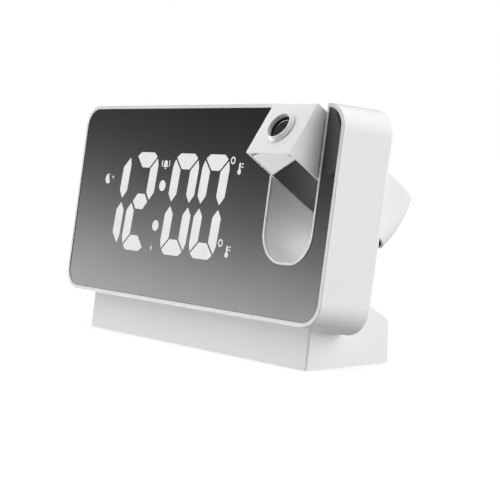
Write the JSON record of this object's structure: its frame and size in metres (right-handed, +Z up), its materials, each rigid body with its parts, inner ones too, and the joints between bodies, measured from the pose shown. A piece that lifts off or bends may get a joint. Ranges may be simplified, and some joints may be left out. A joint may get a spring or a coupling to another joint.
{
  "type": "projection alarm clock",
  "caption": "Slim digital alarm clock leaning on a wedge base, with a mirror-finish display panel and a projector arm that swings through a U-shaped slot near one end.",
  "frame": {"origin": "centre of the non-slip pad's underside, on the table", "axes": "+X to the viewer's right along the display, +Y to the back, +Z up; the display faces -Y and leans back"},
  "size_m": [0.1874, 0.0697, 0.1037],
  "materials": {
    "white_gloss": "semi-gloss white moulded plastic",
    "tinted_mirror": "polished dark tinted mirror acrylic",
    "diffuser_film": "matt translucent white film",
    "reflector_white": "matt white",
    "led_chip": "clear over pale yellow phosphor",
    "circuit_board": "green solder mask",
    "black_plastic": "matt black moulded plastic",
    "steel": "zinc-plated steel",
    "cell_foil": "aluminium-laminate pouch",
    "slip_rubber": "matt grey rubber",
    "bearing_plastic": "natural acetal",
    "lens_glass": "polished clear lens",
    "slide_glass": "polished liquid-crystal glass"
  },
  "bodies": {
    "clock_body": {"front_frame": "white_gloss", "main_housing": "white_gloss", "rear_cover": "white_gloss", "base_shell": "white_gloss", "base_plate": "white_gloss", "mirror_panel": "tinted_mirror", "diffuser_sheet": "diffuser_film", "segment_reflector": "reflector_white", "segment_leds": "led_chip", "display_board": "circuit_board", "main_board": "circuit_board", "tact_switches": "black_plastic", "control_chip": "black_plastic", "buzzer": "black_plastic", "board_header": "black_plastic", "display_screws": "steel", "rear_screws": "steel", "main_screws": "steel", "base_screws": "steel", "stand_screws": "steel", "friction_washer": "steel", "base_weight": "steel", "power_socket": "steel", "battery_cell": "cell_foil", "non_slip_pad": "slip_rubber", "bush_left": "bearing_plastic", "bush_right": "bearing_plastic"},
    "projector_arm": {"arm_shell": "white_gloss", "arm_inlay": "tinted_mirror", "axle_left": "steel", "axle_right": "steel", "axle_nut": "steel", "optics_barrel": "black_plastic", "time_slide": "slide_glass", "lamp_housing": "black_plastic", "condenser_lens": "lens_glass", "lamp_board": "circuit_board", "projector_lamp": "led_chip"},
    "focus_ring": {"focus_ring": "white_gloss"},
    "lens_cell": {"lens_cell": "black_plastic", "projection_lens": "lens_glass"},
    "snooze_bar": {"snooze_bar": "white_gloss"},
    "time_key": {"time_key": "white_gloss"},
    "alarm_key": {"alarm_key": "white_gloss"},
    "up_key": {"up_key": "white_gloss"},
    "down_key": {"down_key": "white_gloss"},
    "projector_key": {"projector_key": "white_gloss"}
  },
  "joints": [
    {"name": "projector_swivel", "type": "hinge", "parent": "clock_body", "child": "projector_arm", "pos_m": [0.06705, -0.00341, 0.08137], "axis": [1, 0, 0], "range_deg": [-153.2, 26.8]},
    {"name": "focus_turn", "type": "hinge", "parent": "projector_arm", "child": "focus_ring", "pos_m": [0.06705, -0.02653, 0.09379], "axis": [0, -0.82, 0.5724], "range_deg": [-60, 60]},
    {"name": "lens_advance", "type": "slide", "parent": "projector_arm", "child": "lens_cell", "axis": [0, -0.82, 0.5724], "range_m": [-0.00067, 0.00067]},
    {"name": "snooze_press", "type": "slide", "parent": "clock_body", "child": "snooze_bar", "axis": [0, -0.0892, -0.996], "range_m": [0, 0.0005], "stiffness_N_per_m": 600, "springref_m": -0.001},
    {"name": "time_key_press", "type": "slide", "parent": "clock_body", "child": "time_key", "axis": [0, -0.99, 0.1412], "range_m": [0, 0.0005], "stiffness_N_per_m": 400, "springref_m": -0.001},
    {"name": "alarm_key_press", "type": "slide", "parent": "clock_body", "child": "alarm_key", "axis": [0, -0.99, 0.1412], "range_m": [0, 0.0005], "stiffness_N_per_m": 400, "springref_m": -0.001},
    {"name": "up_key_press", "type": "slide", "parent": "clock_body", "child": "up_key", "axis": [0, -0.99, 0.1412], "range_m": [0, 0.0005], "stiffness_N_per_m": 400, "springref_m": -0.001},
    {"name": "down_key_press", "type": "slide", "parent": "clock_body", "child": "down_key", "axis": [0, -0.99, 0.1412], "range_m": [0, 0.0005], "stiffness_N_per_m": 400, "springref_m": -0.001},
    {"name": "projector_key_press", "type": "slide", "parent": "clock_body", "child": "projector_key", "axis": [0, -0.99, 0.1412], "range_m": [0, 0.0005], "stiffness_N_per_m": 400, "springref_m": -0.001}
  ],
  "couplings": [
    {"joint": "focus_turn", "follows": "lens_advance", "rad_per_m": 1570.8}
  ]
}
